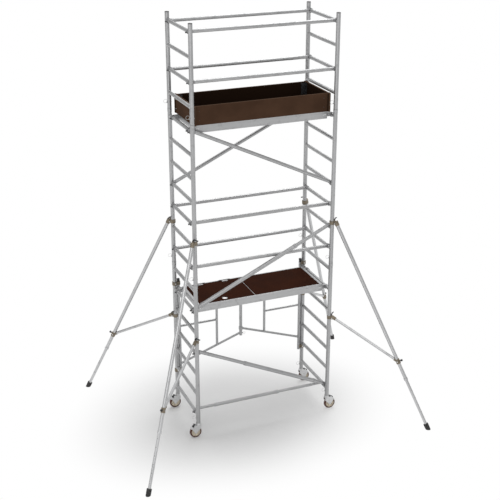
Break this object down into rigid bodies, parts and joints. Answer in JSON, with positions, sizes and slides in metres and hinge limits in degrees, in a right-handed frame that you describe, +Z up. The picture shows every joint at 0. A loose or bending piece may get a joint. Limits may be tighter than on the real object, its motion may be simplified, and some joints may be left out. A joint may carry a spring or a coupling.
{
  "type": "mobile tower scaffold",
  "caption": "Tall aluminium access tower on braked castors with two hatch platforms, guard rails, toe boards, a folding rear base frame and splayed stabilisers.",
  "frame": {"origin": "on the floor, at the centre of the tower's plan", "axes": "+Z up; X along the tower's long side; +Y towards the side with the folding base frame"},
  "size_m": [3.7814, 2.7874, 5.166],
  "materials": {
    "frame_aluminium": "satin extruded, fine lengthwise ridges",
    "brace_aluminium": "satin extruded",
    "deck_aluminium": "satin extruded",
    "stabiliser_aluminium": "satin extruded",
    "black_plastic": "moulded, matt",
    "black_casting": "dark coated casting",
    "zinc_steel": "zinc plated",
    "coupler_casting": "yellow passivated casting",
    "film_faced_plywood": "reddish brown phenolic film",
    "toe_board_plywood": "brown phenolic film",
    "castor_wheel": "brown rubber tyre on a cream rim",
    "black_rubber": "moulded, matt"
  },
  "bodies": {
    "tower": {"base_brace": "brace_aluminium", "base_diagonal": "brace_aluminium", "base_frame_left": "frame_aluminium", "base_frame_right": "frame_aluminium", "brace_claws": "black_casting", "castor_stems": "zinc_steel", "guardrails_lower": "brace_aluminium", "guardrails_upper": "brace_aluminium", "leg_end_plugs": "black_plastic", "locking_clips": "zinc_steel", "lower_deck_frame": "deck_aluminium", "lower_deck_hooks": "black_casting", "lower_deck_panel": "film_faced_plywood", "lower_diagonal": "brace_aluminium", "mid_diagonals": "brace_aluminium", "mid_frame_left": "frame_aluminium", "mid_frame_right": "frame_aluminium", "rear_couplers": "coupler_casting", "toe_board_front": "toe_board_plywood", "toe_board_left": "toe_board_plywood", "toe_board_rear": "toe_board_plywood", "toe_board_right": "toe_board_plywood", "top_frame_left": "frame_aluminium", "top_frame_right": "frame_aluminium", "upper_deck_frame": "deck_aluminium", "upper_deck_hooks": "black_casting", "upper_deck_panel": "film_faced_plywood"},
    "castor_nl": {"castor_nl_fork": "zinc_steel"},
    "wheel_nl": {"castor_nl_wheel": "castor_wheel"},
    "brake_nl": {"castor_nl_brake": "black_casting"},
    "stabiliser_nl": {"stabiliser_nl_arm": "stabiliser_aluminium", "stabiliser_nl_couplers": "coupler_casting"},
    "stabiliser_leg_nl": {"stabiliser_nl_leg": "stabiliser_aluminium", "stabiliser_nl_foot": "black_rubber"},
    "castor_nr": {"castor_nr_fork": "zinc_steel"},
    "wheel_nr": {"castor_nr_wheel": "castor_wheel"},
    "brake_nr": {"castor_nr_brake": "black_casting"},
    "stabiliser_nr": {"stabiliser_nr_arm": "stabiliser_aluminium", "stabiliser_nr_couplers": "coupler_casting"},
    "stabiliser_leg_nr": {"stabiliser_nr_leg": "stabiliser_aluminium", "stabiliser_nr_foot": "black_rubber"},
    "castor_rl": {"castor_rl_fork": "zinc_steel"},
    "wheel_rl": {"castor_rl_wheel": "castor_wheel"},
    "brake_rl": {"castor_rl_brake": "black_casting"},
    "stabiliser_rl": {"stabiliser_rl_arm": "stabiliser_aluminium", "stabiliser_rl_couplers": "coupler_casting"},
    "stabiliser_leg_rl": {"stabiliser_rl_leg": "stabiliser_aluminium", "stabiliser_rl_foot": "black_rubber"},
    "castor_rr": {"castor_rr_fork": "zinc_steel"},
    "wheel_rr": {"castor_rr_wheel": "castor_wheel"},
    "brake_rr": {"castor_rr_brake": "black_casting"},
    "stabiliser_rr": {"stabiliser_rr_arm": "stabiliser_aluminium", "stabiliser_rr_couplers": "coupler_casting"},
    "stabiliser_leg_rr": {"stabiliser_rr_leg": "stabiliser_aluminium", "stabiliser_rr_foot": "black_rubber"},
    "lower_hatch": {"lower_hatch": "film_faced_plywood"},
    "upper_hatch": {"upper_hatch": "film_faced_plywood"},
    "rear_leaf_left": {"rear_leaf_left": "frame_aluminium"},
    "rear_leaf_right": {"rear_leaf_right": "frame_aluminium"},
    "centre_lock_pin": {"centre_lock_pin": "zinc_steel"}
  },
  "joints": [
    {"name": "castor_nl_swivel", "type": "hinge", "parent": "tower", "child": "castor_nl", "pos_m": [-0.893, -0.396, 0.18], "axis": [0, 0, 1], "continuous": true},
    {"name": "wheel_nl_spin", "type": "hinge", "parent": "castor_nl", "child": "wheel_nl", "pos_m": [-0.933, -0.396, 0.075], "axis": [0, 1, 0], "continuous": true},
    {"name": "brake_nl_pedal", "type": "hinge", "parent": "castor_nl", "child": "brake_nl", "pos_m": [-0.943, -0.396, 0.166], "axis": [0, -1, 0], "range_deg": [0, 6]},
    {"name": "stabiliser_nl_swing", "type": "hinge", "parent": "tower", "child": "stabiliser_nl", "pos_m": [-0.893, -0.396, 1.33], "axis": [0, 0, 1], "range_deg": [-40, 40]},
    {"name": "stabiliser_nl_extension", "type": "slide", "parent": "stabiliser_nl", "child": "stabiliser_leg_nl", "axis": [-0.3167, -0.3167, -0.8941], "range_m": [-0.6, 0]},
    {"name": "castor_nr_swivel", "type": "hinge", "parent": "tower", "child": "castor_nr", "pos_m": [0.893, -0.396, 0.18], "axis": [0, 0, 1], "continuous": true},
    {"name": "wheel_nr_spin", "type": "hinge", "parent": "castor_nr", "child": "wheel_nr", "pos_m": [0.933, -0.396, 0.075], "axis": [0, 1, 0], "continuous": true},
    {"name": "brake_nr_pedal", "type": "hinge", "parent": "castor_nr", "child": "brake_nr", "pos_m": [0.943, -0.396, 0.166], "axis": [0, 1, 0], "range_deg": [0, 6]},
    {"name": "stabiliser_nr_swing", "type": "hinge", "parent": "tower", "child": "stabiliser_nr", "pos_m": [0.893, -0.396, 1.33], "axis": [0, 0, 1], "range_deg": [-40, 40]},
    {"name": "stabiliser_nr_extension", "type": "slide", "parent": "stabiliser_nr", "child": "stabiliser_leg_nr", "axis": [0.3167, -0.3167, -0.8941], "range_m": [-0.6, 0]},
    {"name": "castor_rl_swivel", "type": "hinge", "parent": "tower", "child": "castor_rl", "pos_m": [-0.893, 0.396, 0.18], "axis": [0, 0, 1], "continuous": true},
    {"name": "wheel_rl_spin", "type": "hinge", "parent": "castor_rl", "child": "wheel_rl", "pos_m": [-0.933, 0.396, 0.075], "axis": [0, 1, 0], "continuous": true},
    {"name": "brake_rl_pedal", "type": "hinge", "parent": "castor_rl", "child": "brake_rl", "pos_m": [-0.943, 0.396, 0.166], "axis": [0, -1, 0], "range_deg": [0, 6]},
    {"name": "stabiliser_rl_swing", "type": "hinge", "parent": "tower", "child": "stabiliser_rl", "pos_m": [-0.893, 0.396, 1.33], "axis": [0, 0, 1], "range_deg": [-40, 40]},
    {"name": "stabiliser_rl_extension", "type": "slide", "parent": "stabiliser_rl", "child": "stabiliser_leg_rl", "axis": [-0.3167, 0.3167, -0.8941], "range_m": [-0.6, 0]},
    {"name": "castor_rr_swivel", "type": "hinge", "parent": "tower", "child": "castor_rr", "pos_m": [0.893, 0.396, 0.18], "axis": [0, 0, 1], "continuous": true},
    {"name": "wheel_rr_spin", "type": "hinge", "parent": "castor_rr", "child": "wheel_rr", "pos_m": [0.933, 0.396, 0.075], "axis": [0, 1, 0], "continuous": true},
    {"name": "brake_rr_pedal", "type": "hinge", "parent": "castor_rr", "child": "brake_rr", "pos_m": [0.943, 0.396, 0.166], "axis": [0, 1, 0], "range_deg": [0, 6]},
    {"name": "stabiliser_rr_swing", "type": "hinge", "parent": "tower", "child": "stabiliser_rr", "pos_m": [0.893, 0.396, 1.33], "axis": [0, 0, 1], "range_deg": [-40, 40]},
    {"name": "stabiliser_rr_extension", "type": "slide", "parent": "stabiliser_rr", "child": "stabiliser_leg_rr", "axis": [0.3167, 0.3167, -0.8941], "range_m": [-0.6, 0]},
    {"name": "lower_hatch_hinge", "type": "hinge", "parent": "tower", "child": "lower_hatch", "pos_m": [-0.438, 0.288, 1.7655], "axis": [-1, 0, 0], "range_deg": [0, 90]},
    {"name": "upper_hatch_hinge", "type": "hinge", "parent": "tower", "child": "upper_hatch", "pos_m": [-0.438, 0.288, 4.0055], "axis": [-1, 0, 0], "range_deg": [0, 90]},
    {"name": "rear_leaf_fold", "type": "hinge", "parent": "tower", "child": "rear_leaf_left", "pos_m": [-0.845, 0.396, 1.165], "axis": [0, 0, 1], "range_deg": [0, 75]},
    {"name": "rear_centre_fold", "type": "hinge", "parent": "rear_leaf_left", "child": "rear_leaf_right", "pos_m": [0, 0.396, 1.165], "axis": [0, 0, 1], "range_deg": [-150, 0]},
    {"name": "centre_lock_pin_pull", "type": "slide", "parent": "rear_leaf_left", "child": "centre_lock_pin", "axis": [1, 0, 0], "range_m": [0, 0.04]}
  ],
  "couplings": [
    {"joint": "rear_centre_fold", "follows": "rear_leaf_fold", "ratio": -2}
  ]
}
